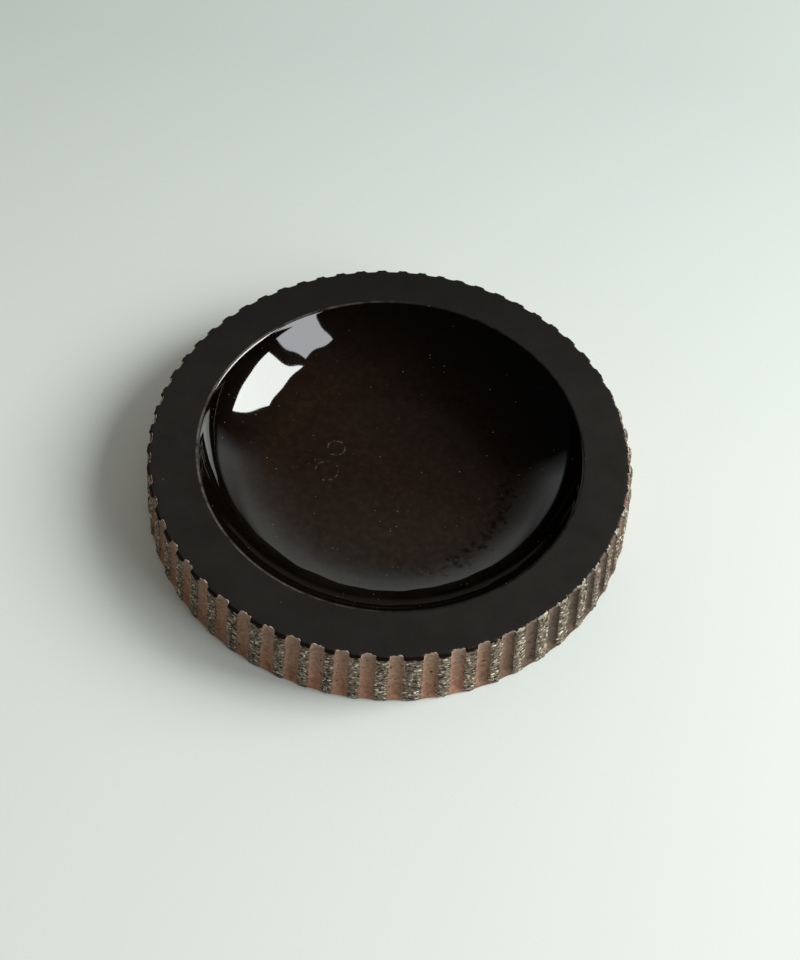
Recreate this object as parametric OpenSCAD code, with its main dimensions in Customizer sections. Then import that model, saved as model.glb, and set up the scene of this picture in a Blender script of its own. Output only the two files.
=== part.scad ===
// Round stoneware dish with a wide flat rim, a shallow glazed well and a fluted outer wall.
// Millimetres, +Z up. The origin is the middle of the face that the dish stands on.
// The wall was coated with a gritty slip and then cut with upright flutes by hand, so the slip
// is left only on the lands between them. A satin glaze covers the rim and a gloss one the well.

/* [Dish] */
// Diameter of the rim, over the lands between the flutes
rim_diameter = 200; // [170:1:240]
// Height from the table to the top of the rim
height = 29.6; // [25:0.1:36]
// How far the wall stands further out at the table than at the rim
base_spread = 3; // [0:0.1:8]
// Width of the flat rim, from its outer edge to the edge of the well
rim_width = 20.5; // [14:0.5:28]
// Height of the well's flat floor above the table
floor_level = 7; // [5:0.5:9]
// Radius of the curve that sweeps up from the well's floor to the rim
well_curve = 45.8; // [42:0.2:58]
// Rounding of the edge between the rim and the well
lip_round = 1.6; // [1.4:0.1:2.4]
// How far the glaze slopes back at the outer edge of the rim
edge_bevel = 0.6; // [0.3:0.1:0.9]

/* [Underside] */
// Width of the ring that the dish stands on
foot_width = 14; // [10:0.5:30]
// Depth of the recess turned inside that ring
recess_depth = 2; // [0.6:0.1:3]
// Bevel of the edge where the wall meets the table
foot_bevel = 2; // [1:0.1:2.4]

/* [Coats] */
// Thickness of the glazes on the rim and in the well
glaze_thickness = 0.9; // [0.8:0.1:1.1]
// Thickness of the gritty slip on the lands
slip_thickness = 0.8; // [0.5:0.1:1]

/* [Flutes] */
// Number of flutes round the wall
flute_count = 61; // [44:1:72]
// Diameter of the round tool that cuts a flute
tool_diameter = 6.8; // [5.6:0.1:8]
// Mean depth of a flute below the lands
flute_depth = 1.6; // [1.3:0.05:2]
// How much the depth differs from flute to flute, either way
depth_wander = 0.12; // [0:0.01:0.2]
// How many times the depth swings round the dish
depth_swings = 23; // [1:1:29]
// Angle of the first flute, in degrees from +X
first_flute = -0.9; // [-180:0.1:180]
// Where the widest land stands, in degrees from the first flute
wide_land_at = 283; // [10:1:350]
// Extra width of that land, in degrees
wide_land_extra = 1.3; // [0:0.01:2]
// Turns round the dish of each wave in the hand-cut spacing
wave_turns = [1, 2, 4, 10]; // [1:1:12]
// Size of each of those waves, in degrees
wave_size = [2.56, 0.97, 0.55, 0.29]; // [0:0.01:3]
// Phase of each of those waves, in degrees
wave_phase = [74, -40, -137, 92]; // [-180:1:180]

/* [Hidden] */

// Smoothness of the round shapes
$fn = 180;
// Overlap that lets one shape cut clean through another
margin = 2;

rim_radius = rim_diameter / 2;
base_radius = rim_radius + base_spread;
well_radius = rim_radius - rim_width;
well_depth = height - floor_level;
// Slope of the wall, from upright
lean = atan(base_spread / height);
// Directions out of the wall and up along it, in the half plane of the section
wall_out = [cos(lean), sin(lean)];
wall_up = [-sin(lean), cos(lean)];

// Middle of the well's curve, tangent to its flat floor
curve_run = sqrt(2 * well_curve * well_depth - well_depth * well_depth);
curve_middle = [well_radius - curve_run, floor_level + well_curve];
// Middle of the rounded lip, which touches the rim's plane and the well's curve
lip_reach = well_curve + lip_round;
lip_run = sqrt(2 * lip_reach * well_depth - well_depth * well_depth);
lip_middle = [curve_middle[0] + lip_run, height - lip_round];
lip_toward = (lip_middle - curve_middle) / lip_reach;

foot_inner = base_radius - foot_width;

// Axis of the flute tool stands off the wall by what the flute's depth leaves of its radius
tool_radius = tool_diameter / 2;
flute_pitch = 360 / flute_count;
wide_index = round(flute_count * wide_land_at / 360);
tool_length = height / cos(lean) + 2 * (tool_diameter + margin);

// Sum of the spacing waves at one flute
function wave_sum(index, wave = 0) =
    wave == len(wave_turns) ? 0
    : wave_size[wave] * sin(wave_turns[wave] * index * flute_pitch + wave_phase[wave])
      + wave_sum(index, wave + 1);

// Angle of one flute: even steps, the waves, and the wide land taken evenly from the rest
function flute_angle(index) =
    first_flute + index * flute_pitch + wave_sum(index)
    + wide_land_extra * ((index >= wide_index ? 1 : 0) - index / flute_count);

// Radius of the wall over the lands at one level, and of the bare clay under their slip
function wall_radius(level) = rim_radius + (height - level) * tan(lean);
function clay_radius(level) = wall_radius(level) - slip_thickness / cos(lean);

// Depth of one flute
function cut_depth(index) = flute_depth + depth_wander * sin(depth_swings * index * flute_pitch);

// Section of the whole dish as if it had no well: leaning wall and bevelled outer edges
module outside_section() {
    polygon([
        [0, 0],
        [base_radius - foot_bevel, 0],
        [wall_radius(foot_bevel), foot_bevel],
        [wall_radius(height - glaze_thickness), height - glaze_thickness],
        [rim_radius - edge_bevel, height],
        [0, height]
    ]);
}

// Section of the hollow of the well, grown by a skin into the clay
module well_section(skin) {
    difference() {
        union() {
            translate([0, floor_level - skin]) square([curve_middle[0], well_depth + skin + margin]);
            intersection() {
                translate(curve_middle) circle(r = well_curve + skin);
                square([well_radius + skin, height]);
            }
            polygon([
                lip_middle,
                [lip_middle[0], height + margin],
                [curve_middle[0], height + margin],
                curve_middle + (well_curve + skin) * lip_toward
            ]);
        }
        translate(lip_middle) circle(r = lip_round - skin);
    }
}

// Section of the slab above the clay's top, from a radius outward
module top_slab_section(from_radius) {
    translate([from_radius, height - glaze_thickness])
        square([base_radius + margin - from_radius, glaze_thickness + margin]);
}

// Section of the satin coat: flat over the rim and down over its bevelled edge
module rim_coat_section() {
    intersection() {
        outside_section();
        top_slab_section(lip_middle[0]);
    }
}

// Section of the band outside the clay of the wall, up to a level
module wall_band_section(top_level) {
    polygon([
        [clay_radius(-margin), -margin],
        [base_radius + 2 * margin, -margin],
        [base_radius + 2 * margin, top_level],
        [clay_radius(top_level), top_level]
    ]);
}

// Section of the gritty slip down the wall, below the satin coat
module slip_section() {
    intersection() {
        outside_section();
        wall_band_section(height - glaze_thickness);
    }
}

// Section of the recess under the dish, with a sloping edge
module recess_section() {
    polygon([
        [0, -margin],
        [foot_inner, -margin],
        [foot_inner, 0],
        [foot_inner - recess_depth, recess_depth],
        [0, recess_depth]
    ]);
}

// Tool for one flute, lying along the wall
module flute_tool(index) {
    stand_off = tool_radius - cut_depth(index);
    axis = [base_radius, 0] + stand_off * wall_out - (tool_diameter + margin) * wall_up;
    rotate([0, 0, flute_angle(index)])
        translate([axis[0], 0, axis[1]])
            rotate([0, -lean, 0])
                cylinder(r = tool_radius, h = tool_length);
}

// All the flutes round the wall
module flute_tools() {
    for (index = [0 : flute_count - 1]) flute_tool(index);
}

// Fired clay: floor, wall and foot, bare in the flutes and underneath
module stoneware_body() {
    color("#8a6b58")
        difference() {
            rotate_extrude() difference() {
                outside_section();
                well_section(glaze_thickness);
                top_slab_section(lip_middle[0] - lip_round);
                wall_band_section(height + margin);
                recess_section();
            }
            flute_tools();
        }
}

// Gritty slip that the cuts leave standing on the lands
module land_slip() {
    color("#8b8374")
        difference() {
            rotate_extrude() slip_section();
            flute_tools();
        }
}

// Satin black-brown glaze on the rim, scalloped by the flutes
module rim_glaze() {
    color("#252422")
        difference() {
            rotate_extrude() rim_coat_section();
            flute_tools();
        }
}

// Gloss dark brown glaze that lines the well and rolls over its lip
module well_glaze() {
    color("#1b120c")
        rotate_extrude() intersection() {
            difference() {
                well_section(glaze_thickness);
                well_section(0);
            }
            square([lip_middle[0], height]);
        }
}

stoneware_body();
land_slip();
rim_glaze();
well_glaze();
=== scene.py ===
"""Dresses a round stoneware dish: bare cut clay, gritty slip on the lands, a satin rim and a gloss well."""
import logging
import math
from dataclasses import dataclass, field
from enum import Enum
from typing import Any, Mapping, Sequence

import bmesh
import bpy
import numpy as np
from mathutils import Matrix, Vector


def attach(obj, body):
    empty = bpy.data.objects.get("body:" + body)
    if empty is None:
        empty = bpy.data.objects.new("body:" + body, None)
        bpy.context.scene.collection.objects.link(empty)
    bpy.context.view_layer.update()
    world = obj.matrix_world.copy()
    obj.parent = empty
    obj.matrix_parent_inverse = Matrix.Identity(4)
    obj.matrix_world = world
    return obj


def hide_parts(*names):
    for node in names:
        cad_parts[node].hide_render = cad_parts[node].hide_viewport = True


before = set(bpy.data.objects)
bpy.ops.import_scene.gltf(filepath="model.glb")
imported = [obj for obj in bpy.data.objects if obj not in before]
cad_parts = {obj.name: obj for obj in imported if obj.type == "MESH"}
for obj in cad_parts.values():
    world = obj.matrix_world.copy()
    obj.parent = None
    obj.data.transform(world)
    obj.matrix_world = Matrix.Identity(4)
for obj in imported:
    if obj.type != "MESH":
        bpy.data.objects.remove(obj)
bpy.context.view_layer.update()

LOG = logging.getLogger("dish")
MM = 0.001
BODY = "root"
TAU = 2.0 * math.pi
FULL = (0.0, 1.0)
SHARP_DEG = 50.0
Tree = bpy.types.NodeTree
Socket = bpy.types.NodeSocket
Span = tuple[float, float]
Direction = tuple[float, float, float]
Triples = tuple[tuple[float, float, float], ...]


def metres(*lengths: float) -> tuple[float, ...]:
    """Millimetres as the metres of the scene."""
    return tuple(length * MM for length in lengths)


def linear(code: str) -> tuple[float, float, float, float]:
    """Turns an sRGB hex colour into linear light.

    Args:
        code: Colour such as "#8a6b58".

    Returns:
        Linear red, green and blue, and an alpha of one.
    """
    parts = [int(code[k:k + 2], 16) / 255.0 for k in (1, 3, 5)]
    light = [p / 12.92 if p <= 0.04045 else ((p + 0.055) / 1.055) ** 2.4 for p in parts]
    return (light[0], light[1], light[2], 1.0)


def add(tree: Tree, kind: str, settings: Mapping[str, Any] | None = None,
        inputs: Mapping[Any, Any] | None = None) -> bpy.types.Node:
    """Adds one node with its settings and links.

    Args:
        tree: Node tree that takes the node.
        kind: Blender's name of the node type.
        settings: Attributes to set on the node.
        inputs: Values or sockets for the node's inputs, by name or number.

    Returns:
        The new node.
    """
    node = tree.nodes.new(kind)
    for name, value in (settings or {}).items():
        setattr(node, name, value)
    for key, value in (inputs or {}).items():
        if isinstance(value, Socket):
            tree.links.new(value, node.inputs[key])
        else:
            node.inputs[key].default_value = value
    return node


def tones(tree: Tree, value: Socket, stops: Sequence[tuple[float, str]]) -> Socket:
    """Turns a value into a run of tones.

    Args:
        tree: Node tree that takes the nodes.
        value: Socket that gives the place in the run.
        stops: Places from 0 to 1 with their sRGB hex colours.

    Returns:
        The colour.
    """
    node = add(tree, "ShaderNodeValToRGB", None, {"Fac": value})
    points = node.color_ramp.elements
    while len(points) < len(stops):
        points.new(1.0)
    for point, (position, code) in zip(points, stops):
        point.position = position
        point.color = linear(code)
    return node.outputs["Color"]


def fade(tree: Tree, value: Socket, edge: Span, reach: Span = FULL, *others: Any) -> Socket:
    """Share that follows a value between two levels, held at both ends, times other shares.

    Args:
        tree: Node tree that takes the nodes.
        value: Socket to follow.
        edge: Levels of the value where the share starts and ends.
        reach: Shares at those levels.
        others: Shares or lengths that it is multiplied with.

    Returns:
        The share.
    """
    limits = {"From Min": edge[0], "From Max": edge[1], "To Min": reach[0], "To Max": reach[1]}
    share = add(tree, "ShaderNodeMapRange", None, {"Value": value, **limits}).outputs["Result"]
    for other in others:
        share = add(tree, "ShaderNodeMath", {"operation": "MULTIPLY"}, {0: share, 1: other}).outputs[0]
    return share


def wash(tree: Tree, body: Any, colour: Any, value: Socket, edge: Span = FULL, reach: Span = FULL,
         *others: Any) -> Socket:
    """Lays a colour over another, as strongly as a share that fades.

    Args:
        tree: Node tree that takes the nodes.
        body: sRGB hex colour or colour socket underneath.
        colour: sRGB hex colour or colour socket on top.
        value: Socket that the share follows.
        edge: Levels of the value where the share starts and ends.
        reach: Shares at those levels.
        others: Shares that it is multiplied with.

    Returns:
        The mixed colour.
    """
    under, over = (linear(tone) if isinstance(tone, str) else tone for tone in (body, colour))
    share = fade(tree, value, edge, reach, *others)
    return add(tree, "ShaderNodeMix", {"data_type": "RGBA"}, {0: share, 6: under, 7: over}).outputs[2]


def ease(share: np.ndarray | float) -> np.ndarray:
    """Smooth step from 0 to 1, held at both ends."""
    held = np.clip(share, 0.0, 1.0)
    return held * held * (3.0 - 2.0 * held)


@dataclass(frozen=True)
class DishSizes:
    """Sizes of the dish in millimetres and degrees, those of its solids but for a finer foot and lean."""

    rim_radius: float = 100.0
    height: float = 29.6
    base_spread: float = 2.8
    rim_width: float = 20.5
    floor_level: float = 7.0
    well_curve: float = 45.8
    lip_round: float = 1.6
    glaze: float = 0.9
    foot_width: float = 14.0
    recess_depth: float = 2.0
    foot_round: float = 0.5
    flute_count: int = 61
    tool_radius: float = 3.4
    flute_depth: float = 1.6
    depth_wander: float = 0.12
    depth_swings: int = 23
    first_flute: float = -0.9
    wide_land_at: float = 283.0
    wide_land_extra: float = 1.3
    wave_turns: tuple[int, ...] = (1, 2, 4, 10)
    wave_size: tuple[float, ...] = (2.56, 0.97, 0.55, 0.29)
    wave_phase: tuple[float, ...] = (74.0, -40.0, -137.0, 92.0)
    # How finely the well's section is drawn: lip, start of the curve, hole at the pole, curve and floor
    lip_steps: int = 7
    curve_start: float = 0.97
    pole_radius: float = 1.0
    bed_steps: tuple[int, int] = (12, 3)

    @property
    def lean(self) -> float:
        """Slope of the wall from upright, in radians."""
        return math.atan(self.base_spread / self.height)

    @property
    def well_depth(self) -> float:
        """Depth of the well below the rim."""
        return self.height - self.floor_level

    @property
    def floor_radius(self) -> float:
        """Radius of the well's flat floor, where its curve starts."""
        run = math.sqrt(2.0 * self.well_curve * self.well_depth - self.well_depth ** 2)
        return self.rim_radius - self.rim_width - run

    @property
    def lip_radius(self) -> float:
        """Radius at which the lip's rounding meets the flat rim."""
        reach = self.well_curve + self.lip_round
        return self.floor_radius + math.sqrt(2.0 * reach * self.well_depth - self.well_depth ** 2)

    def wall_radius(self, level: np.ndarray | float) -> np.ndarray | float:
        """Radius of the wall over the lands at a level."""
        return self.rim_radius + (self.height - level) * math.tan(self.lean)

    def tuck(self, level: float) -> float:
        """How far the wall draws in at a level, where its foot is rounded."""
        short = max(0.0, 1.0 - level / self.foot_round)
        return self.foot_round * (1.0 - math.sqrt(1.0 - short * short))

    def flute_angle(self, index: int) -> float:
        """Angle of one flute in radians, by the same rule as in the solids."""
        pitch = 360.0 / self.flute_count
        waves = sum(size * math.sin(math.radians(turns * index * pitch + phase))
                    for turns, size, phase in zip(self.wave_turns, self.wave_size, self.wave_phase))
        wide_index = round(self.flute_count * self.wide_land_at / 360.0)
        step = (1.0 if index >= wide_index else 0.0) - index / self.flute_count
        return math.radians(self.first_flute + index * pitch + waves + self.wide_land_extra * step)

    def cut_depth(self, index: int) -> float:
        """Depth of one flute below the lands."""
        swing = math.sin(TAU * self.depth_swings * index / self.flute_count)
        return self.flute_depth + self.depth_wander * swing

    def well_section(self, skin: float, curve_steps: int, floor_steps: int) -> list[tuple[float, float]]:
        """Section of the well from its lip to near its middle.

        Args:
            skin: Depth of this section under the glaze's face.
            curve_steps: Points on the curve between lip and floor.
            floor_steps: Points on the flat floor.

        Returns:
            Radii and levels in millimetres.
        """
        lip = (self.lip_radius, self.height - self.lip_round)
        middle = (self.floor_radius, self.floor_level + self.well_curve)
        toward = math.atan2(middle[1] - lip[1], middle[0] - lip[0])
        turns = np.linspace(0.5 * math.pi, toward, self.lip_steps)
        rounding = self.lip_round - skin
        line = [(lip[0] + rounding * math.cos(turn), lip[1] + rounding * math.sin(turn)) for turn in turns]
        reach = self.well_curve + skin
        sweep = toward - 0.5 * math.pi
        for share in np.linspace(self.curve_start, 0.0, curve_steps):
            turn = share * sweep
            line.append((middle[0] + reach * math.sin(turn), middle[1] - reach * math.cos(turn)))
        flat = np.linspace(self.floor_radius, self.pole_radius, floor_steps + 1)[1:]
        return line + [(r, self.floor_level - skin) for r in flat]


def hand_waves(level: float, flute: np.ndarray, waves: Triples) -> np.ndarray:
    """Unevenness of a hand cut at one level, out of step from flute to flute.

    Args:
        level: Height above the table in millimetres.
        flute: Number of each line's flute.
        waves: Size, radians for each millimetre and radians for each flute of every wave.

    Returns:
        One value for each line.
    """
    return sum(size * np.sin(pace * level + step * flute) for size, pace, step in waves)


@dataclass
class FluteColumns:
    """Upright lines round the wall that follow the edges and the hollow of every hand-cut flute.

    A line in a flute has a place across it from -1 to 1, and a line on a land has a share of the way
    from one flute's edge to the next.
    """

    sizes: DishSizes
    flute_steps: int
    land_steps: int
    # Slant of the cuts, which swings round the dish, and their sway as a share of their width
    slant_deg: float = 0.5
    slant_turns: int = 2
    upright_flute: float = 47.5
    sway: float = 0.022
    sway_waves: Triples = ((1.0, 0.19, 2.1), (0.6, 0.41, 5.3))
    # Shape of a hollow: depth beside the solids', corners, run-out at the foot and flatter top
    deepen: float = 1.3
    corner: float = 2.2
    fullness: float = 2.0
    run_out: float = 4.5
    foot_share: float = 0.25
    top_run: float = 4.0
    top_share: float = 0.72
    top_corner: float = 4.5
    index: np.ndarray = field(init=False)
    angle: np.ndarray = field(init=False)
    half: np.ndarray = field(init=False)
    depth: np.ndarray = field(init=False)
    flute: np.ndarray = field(init=False)
    across: np.ndarray = field(init=False)
    share: np.ndarray = field(init=False)

    def __post_init__(self) -> None:
        """Lays out the lines, flute by flute, round the dish."""
        s = self.sizes
        self.index = np.arange(s.flute_count)
        self.angle = np.array([s.flute_angle(i) for i in self.index])
        cut = np.array([s.cut_depth(i) for i in self.index])
        self.half = np.sqrt(2.0 * s.tool_radius * cut - cut ** 2)
        self.depth = self.deepen * cut
        hollow = np.sin(np.pi * (np.arange(self.flute_steps + 1) / self.flute_steps - 0.5))
        land = np.arange(1, self.land_steps) / self.land_steps
        self.flute = np.repeat(self.index, len(hollow) + len(land))
        self.across = np.tile(np.concatenate([hollow, np.ones(len(land))]), s.flute_count)
        self.share = np.tile(np.concatenate([np.full(len(hollow), -1.0), land]), s.flute_count)

    @property
    def on_land(self) -> np.ndarray:
        """True for the lines on the lands."""
        return self.share >= 0.0

    def edges(self, level: float) -> tuple[np.ndarray, np.ndarray]:
        """Where the flutes' edges stand at a level, with the slant and the sway of a hand cut.

        Args:
            level: Height above the table in millimetres.

        Returns:
            Angles of the edges where each flute starts and ends, in radians.
        """
        s = self.sizes
        rise = level / s.height
        swing = np.sin(TAU * self.slant_turns * (self.index - self.upright_flute) / s.flute_count)
        middle = self.angle + math.radians(self.slant_deg) * swing * (0.5 - rise)
        half = self.half * (1.0 + self.sway * hand_waves(level, self.index, self.sway_waves))
        wall = s.wall_radius(level)
        return middle - half / wall, middle + half / wall

    def at(self, level: float, sink: float) -> tuple[np.ndarray, np.ndarray]:
        """Angles and radii of all the lines at one level.

        Args:
            level: Height above the table in millimetres.
            sink: How far the lands lie below the wall.

        Returns:
            Angles in radians and radii in millimetres, one for each line.
        """
        s = self.sizes
        starts, ends = self.edges(level)
        first, last = starts[self.flute], ends[self.flute]
        after = (self.flute + 1) % s.flute_count
        following = starts[after] + np.where(after == 0, TAU, 0.0)
        in_flute = 0.5 * (first + last) + 0.5 * self.across * (last - first)
        angle = np.where(self.on_land, last + self.share * (following - last), in_flute)
        near_top = float(ease((level - s.height + self.top_run) / self.top_run))
        corner = self.corner + (self.top_corner - self.corner) * near_top
        full = np.maximum(1.0 - np.abs(self.across) ** corner, 0.0) ** (1.0 / self.fullness)
        running = self.foot_share + (1.0 - self.foot_share) * ease(level / self.run_out)
        hollow = self.depth[self.flute] * full * running * (1.0 - (1.0 - self.top_share) * near_top)
        return angle, s.wall_radius(level) - np.where(self.on_land, sink, np.maximum(hollow, sink))


@dataclass(frozen=True)
class WornEdge:
    """The rim's outer edge over the lands, sharp round most of the dish and worn back on one side."""

    least: float = 0.12
    most: float = 1.5
    start_deg: float = -74.0
    full_deg: float = -52.0
    end_deg: float = 36.0
    fade_deg: float = 28.0
    run_out: float = 0.3
    hollow: float = 1.5

    def depth(self, angle: np.ndarray) -> np.ndarray:
        """How far the edge is worn back, in millimetres, at angles in radians."""
        turn = (np.degrees(angle) + 180.0) % 360.0 - 180.0
        rise = ease((turn - self.start_deg) / (self.full_deg - self.start_deg))
        fall = ease((self.end_deg - turn) / self.fade_deg)
        return self.least + (self.most - self.least) * rise * fall

    def slope(self, angle: np.ndarray, below: np.ndarray | float) -> np.ndarray:
        """How far the wall is worn back at a distance below the rim's top."""
        worn = self.depth(angle)
        return worn * np.clip(1.0 - below / (worn + self.run_out), 0.0, 1.0) ** self.hollow


@dataclass(frozen=True)
class FrontSide:
    """The part of the wall that faces the front."""

    end_deg: float = 88.0
    fade_deg: float = 48.0

    def share(self, angle: np.ndarray) -> np.ndarray:
        """How much each place faces the front, from 0 over the back to 1, at angles in radians."""
        off = np.abs((np.degrees(angle) + 270.0) % 360.0 - 180.0)
        return ease((self.end_deg - off) / self.fade_deg)


def ring(angle: np.ndarray, radius: np.ndarray | float, level: np.ndarray | float) -> np.ndarray:
    """Points at angles, radii and levels in millimetres."""
    radius, level = np.broadcast_to(radius, angle.shape), np.broadcast_to(level, angle.shape)
    return np.stack([radius * np.cos(angle), radius * np.sin(angle), level], -1)


def make_mesh(name: str, points: np.ndarray, faces: Sequence[Sequence[int]],
              attributes: Mapping[str, np.ndarray] | None = None) -> bpy.types.Object:
    """Makes a smooth mesh object at the origin with outward faces.

    Args:
        name: Name of the piece.
        points: Vertices in millimetres.
        faces: Vertex numbers of each face.
        attributes: Values for each vertex, by name.

    Returns:
        The new object.
    """
    mesh = bpy.data.meshes.new(name)
    mesh.from_pydata((points * MM).tolist(), [], faces)
    for label, values in (attributes or {}).items():
        layer = mesh.attributes.new(label, "FLOAT", "POINT")
        layer.data.foreach_set("value", np.asarray(values, dtype=np.float32))
    work = bmesh.new()
    work.from_mesh(mesh)
    bmesh.ops.recalc_face_normals(work, faces=work.faces)
    work.to_mesh(mesh)
    work.free()
    mesh.polygons.foreach_set("use_smooth", [True] * len(mesh.polygons))
    mesh.set_sharp_from_angle(angle=math.radians(SHARP_DEG))
    made = bpy.data.objects.new(name, mesh)
    bpy.context.scene.collection.objects.link(made)
    return made


def shell(name: str, rows: Sequence[np.ndarray], poles: tuple[np.ndarray, np.ndarray] | None,
          attributes: Mapping[str, np.ndarray] | None = None) -> bpy.types.Object:
    """Joins rings of points into a closed round skin.

    Args:
        name: Name of the piece.
        rows: Rings of points in millimetres, all with the same count.
        poles: Points that close the first and the last ring, or None where the rings close on themselves.
        attributes: Values for each ring's points in order, by name.

    Returns:
        The new object.
    """
    count = len(rows[0])
    pairs = [(r, r + 1) for r in range(len(rows) - 1)]
    if poles is None:
        pairs.append((len(rows) - 1, 0))
    faces: list[tuple[int, ...]] = []
    for a, b in pairs:
        for k in range(count):
            n = (k + 1) % count
            faces.append((a * count + k, a * count + n, b * count + n, b * count + k))
    tips = [] if poles is None else [np.asarray(pole, float).reshape(1, 3) for pole in poles]
    for extra, row in zip(range(len(tips)), (0, len(rows) - 1)):
        tip = len(rows) * count + extra
        faces += [(row * count + k, row * count + (k + 1) % count, tip) for k in range(count)]
    spare = np.zeros(len(tips))
    padded = {label: np.concatenate([values, spare]) for label, values in (attributes or {}).items()}
    return make_mesh(name, np.concatenate([*rows, *tips]), faces, padded)


def wave_noise(angle: np.ndarray, seed: int, turns: Sequence[int]) -> np.ndarray:
    """Uneven value round the dish, from a few seeded waves.

    Args:
        angle: Angles in radians.
        seed: Seed of the waves' phases.
        turns: Waves round the dish.

    Returns:
        Values from about -1 to 1, the same after a full turn.
    """
    phases = np.random.default_rng(seed).uniform(0.0, TAU, len(turns))
    total = sum(np.sin(n * angle + p) for n, p in zip(turns, phases))
    return total / math.sqrt(len(turns))


class Stretch(Enum):
    """How a pattern is stretched over a piece."""

    EVEN = (1.0, 1.0, 1.0)
    LEVEL = (1.0, 1.0, 2.2)
    FLAT = (1.0, 1.0, 0.0)


class Way(Enum):
    """Directions from the middle of the dish, as seen from its front."""

    RIGHT = (1.0, 0.0, 0.0)
    BACK = (0.0, 1.0, 0.0)
    UP = (0.0, 0.0, 1.0)


@dataclass(frozen=True)
class Finish:
    """A surface: its name and what every finish here shares."""

    name: str

    def start(self, roughness: float, ior: float) -> tuple[bpy.types.Material, Tree, bpy.types.Node]:
        """Makes the material with its shader.

        Args:
            roughness: Roughness where nothing else drives it.
            ior: Index of refraction.

        Returns:
            The material, its node tree and its shader node.
        """
        material = bpy.data.materials.new(self.name)
        material.use_nodes = True
        tree = material.node_tree
        shader = next(n for n in tree.nodes if n.type == "BSDF_PRINCIPLED")
        shader.inputs["Roughness"].default_value = roughness
        shader.inputs["IOR"].default_value = ior
        return material, tree, shader

    def place(self, tree: Tree, stretch: Stretch = Stretch.EVEN) -> Socket:
        """Object coordinates, stretched for a pattern."""
        scaled = {"Vector": add(tree, "ShaderNodeTexCoord").outputs["Object"], "Scale": stretch.value}
        return add(tree, "ShaderNodeMapping", None, scaled).outputs["Vector"]

    def along(self, tree: Tree, toward: Direction) -> Socket:
        """Distance in metres from the middle of the dish's foot, in one direction."""
        pair = {0: self.place(tree), 1: toward}
        return add(tree, "ShaderNodeVectorMath", {"operation": "DOT_PRODUCT"}, pair).outputs["Value"]

    def noise(self, tree: Tree, size_mm: float, stretch: Stretch = Stretch.EVEN,
              detail: float = 3.0) -> Socket:
        """Cloudy pattern whose patches measure about a size."""
        return add(tree, "ShaderNodeTexNoise", None, {
            "Vector": self.place(tree, stretch), "Scale": 1.0 / (size_mm * MM), "Detail": detail,
            "Roughness": 0.6}).outputs["Fac"]

    def specks(self, tree: Tree, spacing_mm: float, share: float, bare: float) -> Socket:
        """Small round marks, uneven in size and left out in places.

        Args:
            tree: Node tree that takes the nodes.
            spacing_mm: Mean distance between cells that may hold a mark.
            share: Radius of the largest mark as a share of that distance.
            bare: Share of the cells that can't hold a mark.

        Returns:
            How far inside a mark each place lies, in the same share. It is below zero outside.
        """
        cells = add(tree, "ShaderNodeTexVoronoi", {"feature": "F1"}, {
            "Vector": self.place(tree), "Scale": 1.0 / (spacing_mm * MM)}).outputs
        pick = add(tree, "ShaderNodeSeparateXYZ", None, {0: cells["Color"]}).outputs["X"]
        pair = {0: fade(tree, pick, (bare, 1.0), (-share, share)), 1: cells["Distance"]}
        return add(tree, "ShaderNodeMath", {"operation": "SUBTRACT"}, pair).outputs[0]

    def bump(self, tree: Tree, shader: bpy.types.Node, height: Socket, depth_mm: float) -> None:
        """Raises the shader's surface by a height pattern of a real depth."""
        shape = {"Height": height, "Strength": 1.0, "Distance": depth_mm * MM}
        lift = add(tree, "ShaderNodeBump", None, shape)
        tree.links.new(lift.outputs["Normal"], shader.inputs["Normal"])


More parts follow.
